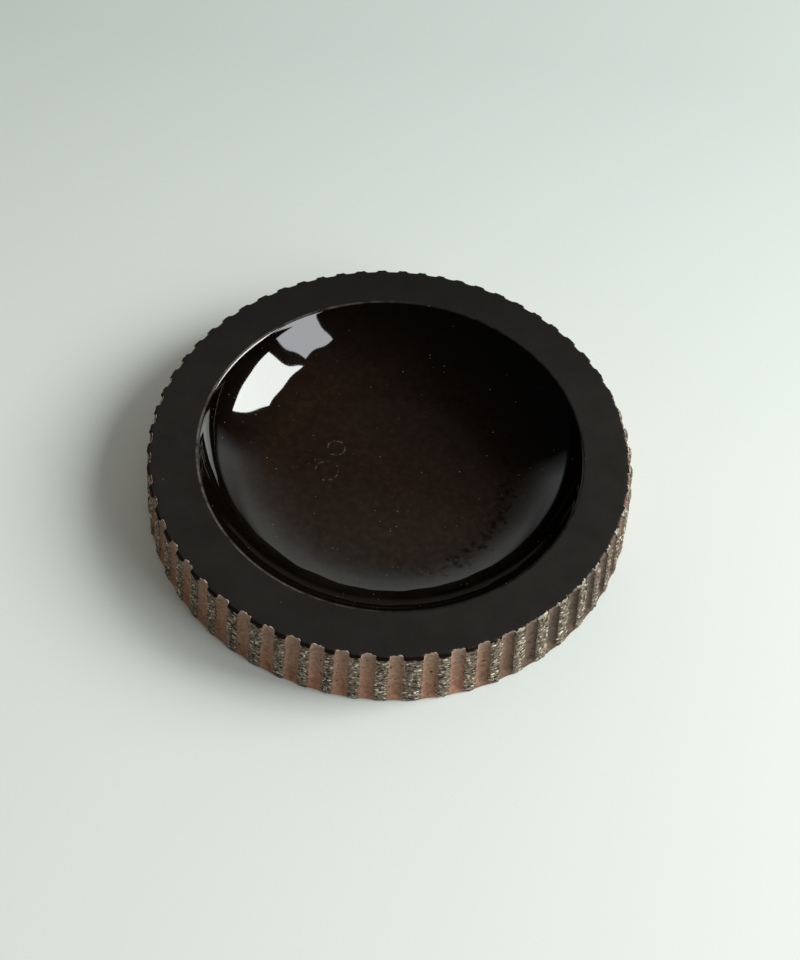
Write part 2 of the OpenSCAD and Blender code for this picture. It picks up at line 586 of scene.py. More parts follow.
@dataclass(frozen=True)
class CutClay(Finish):
    """Iron-bearing stoneware cut with a loop tool and fired bare: dry, reddish brown, with iron specks."""

    name: str = "stoneware_cut_bare"
    wall_mm: Span = (0.0, 30.0)
    drift_mm: Span = (-7.0, 7.0)
    cloud_mm: float = 7.0
    mottle_mm: float = 1.7
    speck_gap_mm: float = 2.2
    patch_mm: float = 1.4
    grain_mm: float = 0.9
    grain_depth_mm: float = 0.12
    # Direction and reach of painted shade: the right-front flutes turn a darker grey-brown
    right_shade_toward: Direction = (0.77, -0.64, 0.0)
    right_shade_mm: Span = (87.0, 98.5)

    def build(self) -> bpy.types.Material:
        """Makes the clay's material: redder at the foot, a painted highlight at the burrs, grey painted
        shade at right front.
        """
        material, tree, shader = self.start(roughness=0.8, ior=1.5)
        drift = fade(tree, self.noise(tree, self.cloud_mm), FULL, metres(*self.drift_mm))
        pair = {0: self.along(tree, Way.UP.value), 1: drift}
        height = add(tree, "ShaderNodeMath", {"operation": "ADD"}, pair).outputs[0]
        body = tones(tree, fade(tree, height, metres(*self.wall_mm)), [
            (0.1, "#a5775d"), (0.45, "#a07860"), (0.8, "#9a7b66"), (0.97, "#98816f")])
        mottle = self.noise(tree, self.mottle_mm, Stretch.EVEN, 5.0)
        body = wash(tree, body, "#664838", mottle, (0.5, 0.66), (0.0, 0.6))
        body = wash(tree, body, "#bc9d86", mottle, (0.46, 0.3), (0.0, 0.6))
        # Painted shade: a darker grey-brown laid over the right-front flutes
        grey = wash(tree, "#574b3f", "#2b2219", mottle, (0.35, 0.65))
        body = wash(tree, body, grey, self.along(tree, self.right_shade_toward), metres(*self.right_shade_mm), (0.0, 0.88))
        body = wash(tree, body, "#3a1f14", self.specks(tree, self.speck_gap_mm, 0.3, 0.3), (-0.08, 0.08))
        # Painted highlight: paler clay on the burrs and along the wall's top at the front
        burr = add(tree, "ShaderNodeAttribute", {"attribute_name": "burr"}).outputs["Fac"]
        body = wash(tree, body, "#a8927f", self.noise(tree, self.patch_mm), (0.38, 0.62), (0.1, 0.85), burr)
        tree.links.new(body, shader.inputs["Base Color"])
        self.bump(tree, shader, self.noise(tree, self.grain_mm, Stretch.EVEN, 4.0), self.grain_depth_mm)
        return material


@dataclass(frozen=True)
class GrittySlip(Finish):
    """Coarse slip of clay and crushed grog, torn on the wheel: grey-brown lumps between dark pits."""

    name: str = "slip_coarse_grog"
    right_mm: Span = (60.0, 85.0)
    stain_mm: float = 2.8
    flake_mm: float = 2.1
    hole_mm: float = 2.3
    edge_patch_mm: float = 1.1
    grit_mm: float = 0.6
    grit_depth_mm: float = 0.25

    def build(self) -> bpy.types.Material:
        """Makes the slip's material, which reads each point's height, torn edges and wear, to paint shade
        and highlight.
        """
        material, tree, shader = self.start(roughness=0.86, ior=1.5)
        relief, rough, worn = (add(tree, "ShaderNodeAttribute", {"attribute_name": label}).outputs["Fac"]
                               for label in ("relief", "rough", "worn"))
        # Tone follows how high each point stands; the near black in the pits is painted shade
        body = tones(tree, relief, [
            (0.15, "#17110d"), (0.38, "#473d31"), (0.55, "#706352"), (0.72, "#968872"), (0.9, "#cabea6")])
        stain = self.noise(tree, self.stain_mm, Stretch.LEVEL)
        body = wash(tree, body, "#6f5a49", stain, (0.52, 0.75), (0.0, 0.5))
        flakes = self.noise(tree, self.flake_mm, Stretch.LEVEL, 2.0)
        body = wash(tree, body, "#dcd2bd", flakes, (0.58, 0.64), (0.0, 0.85))
        holes = self.noise(tree, self.hole_mm, Stretch.LEVEL, 2.0)
        body = wash(tree, body, "#0d0906", holes, (0.44, 0.38), (0.0, 0.92))
        edge_patches = fade(tree, self.noise(tree, self.edge_patch_mm), (0.35, 0.65))
        # Painted shade: darker at the torn edges and under the rim's lap, where rough is low
        body = wash(tree, body, "#2a221b", rough, (0.85, 0.4), FULL, edge_patches)
        right = self.along(tree, Way.RIGHT.value)
        body = wash(tree, body, "#3f372d", right, metres(*self.right_mm), (0.0, 0.3))
        # Painted highlight: pale where the edge is worn back and catches the light
        body = wash(tree, body, "#d9d0c2", worn, FULL, FULL, edge_patches)
        tree.links.new(body, shader.inputs["Base Color"])
        self.bump(tree, shader, self.noise(tree, self.grit_mm, Stretch.LEVEL, 4.0), self.grit_depth_mm)
        return material


@dataclass(frozen=True)
class GrogGrain(Finish):
    """Crushed fired clay: dry grains, most of them pale, each of its own tone."""

    name: str = "grog_crushed"

    def build(self) -> bpy.types.Material:
        """Makes the grains' material, which reads each grain's tone."""
        material, tree, shader = self.start(roughness=0.7, ior=1.5)
        tone = add(tree, "ShaderNodeAttribute", {"attribute_name": "tone"}).outputs["Fac"]
        body = tones(tree, tone, [
            (0.0, "#1c1510"), (0.4, "#352c23"), (0.46, "#9d917d"), (0.7, "#cfc5b0"), (1.0, "#f2ead9")])
        tree.links.new(body, shader.inputs["Base Color"])
        return material


@dataclass(frozen=True)
class SatinGlaze(Finish):
    """Iron-saturated glaze matured to a satin: near black, soft sheen, brown where it thins at the edge."""

    name: str = "glaze_iron_satin"
    # Reach of painted shade: the rim darker toward the back
    back_shade_mm: Span = (20.0, 90.0)
    thins: Span = (0.12, 0.4)
    cloud_mm: float = 14.0
    speck_gap_mm: float = 6.0
    sheen_mm: float = 3.0
    ripple_mm: float = 1.4
    ripple_depth_mm: float = 0.02

    def build(self) -> bpy.types.Material:
        """Makes the rim glaze's material, which reads where the coat thins."""
        material, tree, shader = self.start(roughness=0.5, ior=1.24)
        body = tones(tree, self.noise(tree, self.cloud_mm), [(0.3, "#1e1c1a"), (0.7, "#242220")])
        body = wash(tree, body, "#5d574e", self.specks(tree, self.speck_gap_mm, 0.05, 0.45), (-0.02, 0.02))
        back = self.along(tree, Way.BACK.value)
        # Painted shade: the rim's colour darkens toward the back
        body = wash(tree, body, "#121110", back, metres(*self.back_shade_mm), (0.0, 0.6))
        thin = add(tree, "ShaderNodeAttribute", {"attribute_name": "thin"}).outputs["Fac"]
        body = wash(tree, body, "#130a07", thin, self.thins, (0.0, 0.95))
        tree.links.new(body, shader.inputs["Base Color"])
        tree.links.new(fade(tree, thin, self.thins, (0.5, 0.2)), shader.inputs["Specular IOR Level"])
        sheen = fade(tree, self.noise(tree, self.sheen_mm), (0.2, 0.8), (0.44, 0.55))
        tree.links.new(sheen, shader.inputs["Roughness"])
        self.bump(tree, shader, self.noise(tree, self.ripple_mm), self.ripple_depth_mm)
        return material


@dataclass(frozen=True)
class GlossGlaze(Finish):
    """Clear iron glaze run to a gloss: wet looking, nearly black on the curve and red-brown on the floor."""

    name: str = "glaze_iron_gloss"
    floor_middle_mm: Direction = (0.0, 7.0, 0.0)
    floor_edge_mm: Span = (48.0, 74.0)
    drift_mm: Span = (-8.0, 8.0)
    # Direction and reach of a painted reflection, a greyer sheen over the front of the floor
    front_reflection_toward: Direction = (-0.15, -0.99, 0.0)
    front_reflection_mm: Span = (4.0, 40.0)
    # Direction and reach of painted shade, near black toward the back-right of the well
    back_right_shade_toward: Direction = (0.8, 0.6, 0.0)
    back_right_shade_mm: Span = (0.0, 50.0)
    back_shade_mm: Span = (-20.0, 15.0)
    # Place to the right and to the back, and radius, of each ring
    burst_rings_mm: Triples = ((-26.9, -0.2, 4.9), (-24.0, 12.3, 3.8))
    ring_line_mm: Span = (0.5, 0.15)
    lip_mm: Span = (29.2, 29.55)
    handled_mm: Span = (10.0, -50.0)
    # Radii where the band of dry blots starts, is at its most and ends
    dry_mm: tuple[float, float, float] = (42.0, 52.0, 60.0)
    dry_right_mm: Span = (5.0, 30.0)
    satin_mm: Span = (47.0, 30.0)
    upper_mm: Span = (62.5, 66.0)
    front_mm: Span = (-6.0, -34.0)
    run_mm: float = 16.0
    mottle_mm: float = 3.2
    speck_gap_mm: float = 2.3
    ring_gap_mm: float = 1.6
    patch_mm: float = 5.0
    blot_mm: float = 3.0

    def apart(self, tree: Tree, spot_mm: Direction) -> Socket:
        """Distance in metres from a spot on the dish, seen from above."""
        pair = {0: self.place(tree, Stretch.FLAT), 1: metres(*spot_mm)}
        return add(tree, "ShaderNodeVectorMath", {"operation": "DISTANCE"}, pair).outputs["Value"]

    def drifted(self, tree: Tree, distance: Socket) -> Socket:
        """A distance made uneven, as glaze runs."""
        pair = {0: distance, 1: fade(tree, self.noise(tree, self.run_mm), FULL, metres(*self.drift_mm))}
        return add(tree, "ShaderNodeMath", {"operation": "ADD"}, pair).outputs[0]

    def tone(self, tree: Tree) -> Socket:
        """Colour of the glaze: brown floor, painted greyer sheen to the front, painted shade to the back,
        darker up the curve.
        """
        mottle = self.noise(tree, self.mottle_mm, Stretch.EVEN, 6.0)
        body = tones(tree, mottle, [(0.3, "#1b110c"), (0.52, "#20150f"), (0.72, "#271b14")])
        # Painted reflection: a greyer, mottled sheen over the front of the floor
        front_reflection = tones(tree, mottle, [(0.3, "#231c17"), (0.52, "#28211c"), (0.72, "#302823")])
        body = wash(tree, body, front_reflection, self.along(tree, self.front_reflection_toward), metres(*self.front_reflection_mm))
        back = fade(tree, self.along(tree, Way.BACK.value), metres(*self.back_shade_mm), (0.0, 0.86))
        # Painted shade: near black toward the back-right, where the glaze mirrors a darker room
        back_right_shade = self.along(tree, self.back_right_shade_toward)
        body = wash(tree, body, "#050301", back_right_shade, metres(*self.back_right_shade_mm), FULL, back)
        spread = self.drifted(tree, self.apart(tree, self.floor_middle_mm))
        return wash(tree, body, "#050302", spread, metres(*self.floor_edge_mm))

    def marks(self, tree: Tree, body: Socket, lip: Socket) -> Socket:
        """Lays the glaze's marks over its colour.

        Args:
            tree: Node tree that takes the nodes.
            body: Colour of the glaze.
            lip: One at the well's lip and zero below it.

        Returns:
            The colour with specks, broken rings of pinholes and a handled lip.
        """
        body = wash(tree, body, "#6b6158", self.specks(tree, self.speck_gap_mm, 0.11, 0.35), (-0.03, 0.03))
        for x, y, reach in self.burst_rings_mm:
            pair = {0: self.apart(tree, (x, y, 0.0)), 1: reach * MM}
            off = add(tree, "ShaderNodeMath", {"operation": "SUBTRACT"}, pair).outputs[0]
            beside = add(tree, "ShaderNodeMath", {"operation": "ABSOLUTE"}, {0: off}).outputs[0]
            broken = fade(tree, self.noise(tree, self.ring_gap_mm), (0.48, 0.6))
            body = wash(tree, body, "#675c53", beside, metres(*self.ring_line_mm), (0.0, 0.45), broken)
        patchy = fade(tree, self.noise(tree, self.patch_mm), (0.35, 0.6), (0.15, 1.0))
        right = self.along(tree, Way.RIGHT.value)
        return wash(tree, body, "#5e5552", right, metres(*self.handled_mm), (0.12, 0.9), lip, patchy)

    def blots(self, tree: Tree, uneven: Socket) -> Socket:
        """Dry dark blots in a band round the right of the floor, by the uneven distance from its middle."""
        rise, full, end = metres(*self.dry_mm)
        band = fade(tree, uneven, (rise, full), FULL, fade(tree, uneven, (end, full)))
        clouds = self.noise(tree, self.blot_mm, Stretch.EVEN, 5.0)
        pair = {0: clouds, 1: fade(tree, band, FULL, (-0.2, 0.02))}
        patches = add(tree, "ShaderNodeMath", {"operation": "ADD"}, pair).outputs[0]
        right = fade(tree, self.along(tree, Way.RIGHT.value), metres(*self.dry_right_mm))
        return fade(tree, patches, (0.45, 0.6), (0.0, 0.85), right)

    def build(self) -> bpy.types.Material:
        """Makes the well glaze's material: glossy, softer on the floor and at the lip, dull in the blots."""
        material, tree, shader = self.start(roughness=0.04, ior=1.7)
        radius = self.apart(tree, (0.0, 0.0, 0.0))
        uneven = self.drifted(tree, radius)
        lip = fade(tree, self.along(tree, Way.UP.value), metres(*self.lip_mm))
        dry = self.blots(tree, uneven)
        body = wash(tree, self.marks(tree, self.tone(tree), lip), "#0b0504", dry)
        tree.links.new(body, shader.inputs["Base Color"])
        satin = fade(tree, uneven, metres(*self.satin_mm))
        front = fade(tree, self.along(tree, Way.BACK.value), metres(*self.front_mm))
        upper = fade(tree, radius, metres(*self.upper_mm), FULL, front)
        dull = (fade(tree, satin, FULL, (0.5, 0.3)), fade(tree, dry, FULL, (1.0, 0.2)))
        tree.links.new(fade(tree, upper, FULL, (1.0, 0.12), *dull), shader.inputs["Specular IOR Level"])
        pair = {0: fade(tree, satin, FULL, (0.04, 0.18)), 1: fade(tree, lip, FULL, (0.0, 0.28))}
        soft = add(tree, "ShaderNodeMath", {"operation": "ADD"}, pair).outputs[0]
        tree.links.new(soft, shader.inputs["Roughness"])
        return material


@dataclass(frozen=True)
class PaleFloor(Finish):
    """Plain pale painted board under the dish, greyer toward the back as painted shade where the light falls
    off.
    """

    name: str = "board_painted_pale"
    back_shade_mm: Span = (-250.0, 300.0)
    grain_mm: float = 2.0
    grain_depth_mm: float = 0.03

    def build(self) -> bpy.types.Material:
        """Makes the floor's material."""
        material, tree, shader = self.start(roughness=0.7, ior=1.45)
        # Painted shade: the board greys toward the back as the light falls off
        back = fade(tree, self.along(tree, Way.BACK.value), metres(*self.back_shade_mm))
        tint = tones(tree, back, [(0.0, "#e4e9e7"), (0.5, "#dde3e1"), (1.0, "#ccd4d2")])
        tree.links.new(tint, shader.inputs["Base Color"])
        self.bump(tree, shader, self.noise(tree, self.grain_mm), self.grain_depth_mm)
        return material


def keep(piece: bpy.types.Object, material: bpy.types.Material, node: str | None) -> None:
    """Gives a piece its material and its place in the frame.

    Args:
        piece: Finished piece.
        material: Its finish.
        node: Solid that it stands for, if any.
    """
    piece.data.materials.clear()
    piece.data.materials.append(material)
    if node is not None:
        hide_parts(node)
    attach(piece, BODY)
    piece.data.calc_loop_triangles()
    LOG.info("%s: %d triangles", piece.name, len(piece.data.loop_triangles))


@dataclass
class ClayBody:
    """The fired clay: fluted wall, foot and the bed under the coats."""

    sizes: DishSizes
    edge: WornEdge
    # How far the clay lies in under the slip, in under the rolled edge and below the rim's face
    land_bed: float = 0.4
    edge_bed: float = 1.3
    top_coat: float = 0.45
    flute_steps: int = 12
    land_steps: int = 3
    wall_rows: int = 44
    recess_radii: tuple[float, ...] = (15.0, 30.0, 45.0, 60.0, 75.0)
    # Ways out from the foot's inner edge, with shares of the recess's depth there
    foot_line: tuple[Span, ...] = (
        (-3.2, 1.0), (-2.0, 0.925), (-1.0, 0.55), (-0.2, 0.125), (0.7, 0.0), (4.0, 0.0), (8.0, 0.0))
    foot_levels: tuple[float, ...] = (0.0, 0.08, 0.2, 0.35)
    # Depth below the rim where the clay starts to draw in, and the run to its full
    edge_run: Span = (3.2, 1.8)
    edge_power: int = 12
    chatter: float = 0.03
    chatter_waves: Triples = ((1.0, 0.21, 2.4), (0.6, 0.47, 5.04), (0.5, 1.9, 7.92))
    chatter_power: int = 4
    # Mean height and unevenness of the ragged clay, how far below the rim it stays, and its waves
    burr: Span = (0.02, 0.3)
    burr_drop: float = 0.15
    burr_power: int = 10
    burr_seed: int = 31
    burr_turns: tuple[int, ...] = (97, 149, 211, 283, 359)
    # Lean of its outer ring for its rise, place of its inner ring, and that ring's share of the rise
    burr_out: Span = (0.1, -0.35)
    burr_fall: float = 0.9
    # Strength of the painted highlight, paler clay, along the top of the wall at the front
    top_highlight: float = 0.6
    top_insets: tuple[float, ...] = (0.8, 1.6, 4.0, 10.0)
    lip_gap: float = 2.0
    front: FrontSide = FrontSide()

    def build(self) -> bpy.types.Object:
        """Builds the clay as one closed skin, from under the foot, up the wall and down the well's bed."""
        s = self.sizes
        columns = FluteColumns(s, self.flute_steps, self.land_steps)
        middle, _ = columns.at(0.5 * s.height, self.land_bed)
        foot_inner = s.wall_radius(0.0) - s.foot_width
        under = [(r, s.recess_depth) for r in self.recess_radii]
        under += [(foot_inner + out, share * s.recess_depth) for out, share in self.foot_line]
        rows = [ring(middle, r, z) for r, z in under]
        # Strength of the painted highlight at each point, kept as the burr attribute
        pale = [np.zeros(len(middle)) for _ in under]
        top = s.height - self.top_coat
        for level in (*self.foot_levels, *np.linspace(s.foot_round, top, self.wall_rows).tolist()):
            angle, radius = columns.at(level, self.land_bed)
            radius = np.minimum(radius, self.under_edge(columns, angle, level))
            rows.append(ring(angle, radius - s.tuck(level) + self.tool_marks(columns, level), level))
            pale.append(self.top_highlight * self.front.share(angle) * ease(level - top + 1.0))
        rise = self.burrs(columns, angle)
        rows.append(ring(angle, radius + self.burr_out[0] * rise, top + rise))
        rows.append(ring(angle, radius + self.burr_out[1], top + self.burr_fall * rise))
        pale += [self.front.share(angle)] * 2
        rows += [ring(angle, radius - inset, top) for inset in self.top_insets]
        bed = [(s.lip_radius + self.lip_gap, top), *s.well_section(s.glaze, *s.bed_steps)]
        rows += [ring(middle, r, z) for r, z in bed]
        pale += [np.zeros(len(middle))] * (len(rows) - len(pale))
        poles = (np.array([0.0, 0.0, s.recess_depth]), np.array([0.0, 0.0, s.floor_level - s.glaze]))
        return shell("clay_body", rows, poles, {"burr": np.concatenate(pale)})

    def under_edge(self, columns: FluteColumns, angle: np.ndarray, level: float) -> np.ndarray:
        """Radius that the clay keeps within near its top, so that it stays under the coats' rolled edge.

        Args:
            columns: Lines round the wall.
            angle: Their angles at this level, in radians.
            level: Height above the table in millimetres.

        Returns:
            Largest radius for each line in millimetres.
        """
        s = self.sizes
        beside = np.where(columns.on_land, 1.0, np.abs(columns.across) ** self.edge_power)
        drawn = self.edge_bed * ease((level - s.height + self.edge_run[0]) / self.edge_run[1]) * beside
        worn = self.edge.slope(angle, s.height - level)
        return s.wall_radius(level) - drawn - np.where(worn > 0.0, worn + self.land_bed * beside, 0.0)

    def tool_marks(self, columns: FluteColumns, level: float) -> np.ndarray:
        """Small unevenness that the tool leaves down each flute, at one level."""
        marks = self.chatter * hand_waves(level, columns.flute, self.chatter_waves)
        return np.where(columns.on_land, 0.0, marks * (1.0 - np.abs(columns.across) ** self.chatter_power))

    def burrs(self, columns: FluteColumns, angle: np.ndarray) -> np.ndarray:
        """Ragged clay that the tool pushed up at the top of each flute.

        Args:
            columns: Lines round the wall.
            angle: Their angles at the top, in radians.

        Returns:
            Heights above the clay's top in millimetres, zero on the lands.
        """
        ragged = self.burr[0] + self.burr[1] * wave_noise(angle, self.burr_seed, self.burr_turns)
        height = np.maximum(0.0, self.top_coat + self.front.share(angle) * ragged - self.burr_drop)
        return np.where(columns.on_land, 0.0, height * (1.0 - np.abs(columns.across) ** self.burr_power))

    def dress(self, piece: bpy.types.Object) -> None:
        """Gives the clay its finish and its place."""
        keep(piece, CutClay().build(), "stoneware_body")


@dataclass
class RuleTree:
    """A geometry tree with named lengths as its inputs, run once on a piece and kept as a plain mesh."""

    name: str
    values: Mapping[str, float]

    def __post_init__(self) -> None:
        """Makes the empty tree with its inputs."""
        self.tree = bpy.data.node_groups.new(self.name, "GeometryNodeTree")
        self.tree.interface.new_socket("Geometry", in_out="INPUT", socket_type="NodeSocketGeometry")
        for label in self.values:
            self.tree.interface.new_socket(label, in_out="INPUT", socket_type="NodeSocketFloat")
        self.tree.interface.new_socket("Geometry", in_out="OUTPUT", socket_type="NodeSocketGeometry")
        self.given = add(self.tree, "NodeGroupInput").outputs

    def close(self, geometry: Socket, material: bpy.types.Material) -> None:
        """Ends the tree: instances made real and given their material."""
        plain = add(self.tree, "GeometryNodeRealizeInstances", None, {"Geometry": geometry}).outputs[0]
        dressed = add(self.tree, "GeometryNodeSetMaterial", None, {"Geometry": plain, "Material": material})
        add(self.tree, "NodeGroupOutput", None, {"Geometry": dressed.outputs[0]})

    def bake(self, piece: bpy.types.Object) -> bpy.types.Object:
        """Runs the tree on a piece.

        Args:
            piece: Object whose mesh goes in.

        Returns:
            The same object with the new mesh and no modifier.
        """
        modifier = piece.modifiers.new("rule", "NODES")
        modifier.node_group = self.tree
        for item in self.tree.interface.items_tree:
            if item.item_type == "SOCKET" and item.in_out == "INPUT" and item.name in self.values:
                modifier[item.identifier] = self.values[item.name]
        bpy.context.view_layer.update()
        shown = piece.evaluated_get(bpy.context.evaluated_depsgraph_get())
        shape = bpy.data.meshes.new_from_object(shown)
        piece.modifiers.remove(modifier)
        old = piece.data
        piece.data = shape
        bpy.data.meshes.remove(old)
        shape.name = piece.name
        return piece


@dataclass
class LandSlip:
    """The gritty slip left on the lands, with grog grains standing in it."""

    sizes: DishSizes
    edge: WornEdge
    # Depth of a strip behind its edges, fall of its edges, width of its tears, and room under the lap
    back: float = 0.7
    arris: float = 0.4
    ragged: float = 0.16
    under_lap: float = 0.3
    below_top: float = 1.15
    land_steps: int = 14
    rows: int = 80
    # Distances of a strip's ends from the table and from the rim
    ends: Span = (0.35, 0.05)
    crown_power: int = 4
    tear_seed: int = 21
    tear_pace: Span = (2.3, 4.3)
    # Depth below the rim where the lap is felt, the run to its full, and the run of the lowered top
    lap_run: Span = (3.0, 1.4)
    lower_run: float = 10.0
    edge_rough: float = 0.4
    lap_smooth: float = 0.7
    # How far worn back the slip starts to take its pale painted highlight, and the run to its full
    wear: Span = (0.7, 0.6)
    lump_mm: float = 1.9
    lump_height_mm: float = 0.3
    pit_mm: float = 2.0
    pit_depth_mm: float = 0.55
    grains_per_m2: float = 250000.0
    grain_mm: Span = (0.17, 0.5)
    grain_bias: float = 1.6
    # Least and most stretch of a grain along, across and out of the face, and the seeds of its draws
    grain_least: Direction = (0.9, 0.55, 0.4)
    grain_most: Direction = (2.3, 1.0, 0.8)
    grain_seeds: tuple[int, int, int, int] = (7, 3, 11, 19)
    front_rough: float = 0.5

    def build(self) -> bpy.types.Object:
        """Builds one closed strip on every land, with torn edges."""
        s = self.sizes
        columns = FluteColumns(s, 2, 2)
        chance = np.random.default_rng(self.tear_seed)
        share = np.linspace(0.0, 1.0, self.land_steps + 1)
        crown = 1.0 - np.abs(2.0 * share - 1.0) ** self.crown_power
        levels = np.linspace(self.ends[0], s.height - self.ends[1], self.rows)
        edges = [columns.edges(level) for level in levels]
        points, rough, worn, faces = [], [], [], []
        for i in range(s.flute_count):
            after = (i + 1) % s.flute_count
            turn = TAU if after == 0 else 0.0
            phase = chance.uniform(0.0, TAU, 4)
            for level, (first, last) in zip(levels, edges):
                wall = s.wall_radius(level) - s.tuck(level)
                slow, quick = (pace * level for pace in self.tear_pace)
                tear = self.ragged * (np.sin(slow + phase[:2]) + np.sin(quick + phase[2:]))
                start = last[i] + tear[0] / wall
                end = first[after] + turn - tear[1] / wall
                angle = start + share * (end - start)
                kept = 1.0 - np.clip(self.edge.depth(angle) / self.edge.most, 0.0, 1.0)
                below = s.height - level
                lapped = kept * ease((self.lap_run[0] - below) / self.lap_run[1])
                height = level - self.below_top * kept * ease(1.0 - below / self.lower_run)
                slope = self.edge.slope(angle, below)
                radius = wall - self.arris * (1.0 - crown) - slope - self.under_lap * lapped
                points.append(ring(angle, radius, height))
                points.append(ring(angle[[0, -1]], radius[[0, -1]] - self.back, height[[0, -1]]))
                # A low rough value at the torn edges and under the lap is also painted as shade by the
                # slip's finish
                torn = self.edge_rough + (1.0 - self.edge_rough) * crown
                rough += (torn * (1.0 - self.lap_smooth * lapped)).tolist() + [0.0, 0.0]
                # How far each point is worn back, which the slip's finish paints as a pale highlight
                worn += np.clip((slope - self.wear[0]) / self.wear[1], 0.0, 1.0).tolist() + [0.0, 0.0]
            faces += self.strip_faces(i * self.rows * (self.land_steps + 3))
        values = {"rough": np.array(rough), "worn": np.array(worn)}
        return make_mesh("land_slip_skin", np.concatenate(points), faces, values)

    def strip_faces(self, base: int) -> list[tuple[int, ...]]:
        """Faces of one strip.

        Args:
            base: Number of the strip's first vertex.

        Returns:
            Vertex numbers of its front, sides, back and ends.
        """
        n = self.land_steps + 3
        last = self.land_steps
        faces: list[tuple[int, ...]] = []
        for r in range(self.rows - 1):
            a, b = base + r * n, base + (r + 1) * n
            faces += [(a + k, a + k + 1, b + k + 1, b + k) for k in range(last)]
            around = (last, last + 2, last + 1, 0)
            faces += [(a + k, a + m, b + m, b + k) for k, m in zip(around, around[1:])]
        for row in (0, self.rows - 1):
            a = base + row * n
            faces.append(tuple(range(a, a + last + 1)) + (a + last + 2, a + last + 1))
        return faces

    def roughen(self, piece: bpy.types.Object, material: bpy.types.Material) -> bpy.types.Object:
        """Pushes the strips' faces in and out by lumps and pits, and keeps how high each point stands.

        Args:
            piece: The smooth strips.
            material: Finish of the slip.

        Returns:
            The strips as a plain rough mesh.
        """
        rule = RuleTree("torn_grit", {
            "Lump Size": self.lump_mm * MM, "Lump Height": self.lump_height_mm * MM,
            "Pit Size": self.pit_mm * MM, "Pit Depth": self.pit_depth_mm * MM})
        tree, given = rule.tree, rule.given
        where = add(tree, "ShaderNodeVectorMath", {"operation": "MULTIPLY"}, {
            0: add(tree, "GeometryNodeInputPosition").outputs[0], 1: Stretch.LEVEL.value}).outputs[0]
        per_lump, per_pit = (
            add(tree, "ShaderNodeMath", {"operation": "DIVIDE"}, {0: 1.0, 1: given[label]}).outputs[0]
            for label in ("Lump Size", "Pit Size"))
        lumps = add(tree, "ShaderNodeTexNoise", None, {
            "Vector": where, "Scale": per_lump, "Detail": 3.0, "Roughness": 0.7}).outputs["Fac"]
        high = add(tree, "ShaderNodeMapRange", {"clamp": False}, {
            "Value": lumps, "From Min": 0.5, "From Max": 0.75}).outputs["Result"]
        up = {0: high, 1: given["Lump Height"]}
        cells = add(tree, "ShaderNodeTexVoronoi", {"feature": "F1"}, {"Vector": where, "Scale": per_pit})
        pair = {0: add(tree, "ShaderNodeMath", {"operation": "MULTIPLY"}, up).outputs[0],
                1: fade(tree, cells.outputs["Distance"], (0.36, 0.16), FULL, given["Pit Depth"])}
        lift = add(tree, "ShaderNodeMath", {"operation": "SUBTRACT"}, pair).outputs[0]
        rough = add(tree, "GeometryNodeInputNamedAttribute", {"data_type": "FLOAT"}, {"Name": "rough"})
        pair = {0: lift, 1: rough.outputs["Attribute"]}
        held = add(tree, "ShaderNodeMath", {"operation": "MULTIPLY"}, pair).outputs[0]
        offset = add(tree, "ShaderNodeVectorMath", {"operation": "SCALE"}, {
            0: add(tree, "GeometryNodeInputNormal").outputs[0], "Scale": held}).outputs[0]
        # How high each point stands, which the slip's finish turns into painted shade in the pits
        relief = fade(tree, lift, metres(-self.pit_depth_mm, 1.3 * self.lump_height_mm))
        stored = add(tree, "GeometryNodeStoreNamedAttribute", {"data_type": "FLOAT", "domain": "POINT"}, {
            "Geometry": given["Geometry"], "Name": "relief", "Value": relief}).outputs[0]
        moved = add(tree, "GeometryNodeSetPosition", None, {"Geometry": stored, "Offset": offset}).outputs[0]
        rule.close(moved, material)
        return rule.bake(piece)

    def scatter(self, skin: bpy.types.Object, material: bpy.types.Material) -> bpy.types.Object:
        """Sets grog grains in the strips' faces, dragged level as the slip was torn.

        Args:
            skin: The finished strips.
            material: Finish of the grains.

        Returns:
            All the grains as one plain mesh.
        """
        smallest, largest = metres(*self.grain_mm)
        rule = RuleTree("grog_scatter", {
            "Density": self.grains_per_m2, "Smallest": smallest, "Largest": largest})
        where_seed, size_seed, squash_seed, tone_seed = self.grain_seeds
        tree, given = rule.tree, rule.given
        rough = add(tree, "GeometryNodeInputNamedAttribute", {"data_type": "FLOAT"}, {"Name": "rough"})
        front = add(tree, "FunctionNodeCompare", {"operation": "GREATER_THAN"}, {
            0: rough.outputs["Attribute"], 1: self.front_rough}).outputs[0]
        points = add(tree, "GeometryNodeDistributePointsOnFaces", None, {
            "Mesh": given["Geometry"], "Selection": front, "Density": given["Density"],
            "Seed": where_seed})
        normal = points.outputs["Normal"]
        level = add(tree, "ShaderNodeVectorMath", {"operation": "CROSS_PRODUCT"}, {
            0: Way.UP.value, 1: normal}).outputs[0]
        out = add(tree, "FunctionNodeAlignRotationToVector", {"axis": "Z"}, {"Vector": normal}).outputs[0]
        turned = add(tree, "FunctionNodeAlignRotationToVector", {"axis": "X", "pivot_axis": "Z"}, {
            "Rotation": out, "Vector": level}).outputs[0]
        plain = {"data_type": "FLOAT"}
        pick, tone = (add(tree, "FunctionNodeRandomValue", plain, {2: 0.0, 3: 1.0, "Seed": seed}).outputs[1]
                      for seed in (size_seed, tone_seed))
        pair = {0: pick, 1: self.grain_bias}
        size = add(tree, "ShaderNodeMapRange", None, {
            "Value": add(tree, "ShaderNodeMath", {"operation": "POWER"}, pair).outputs[0],
            "To Min": given["Smallest"], "To Max": given["Largest"]}).outputs["Result"]
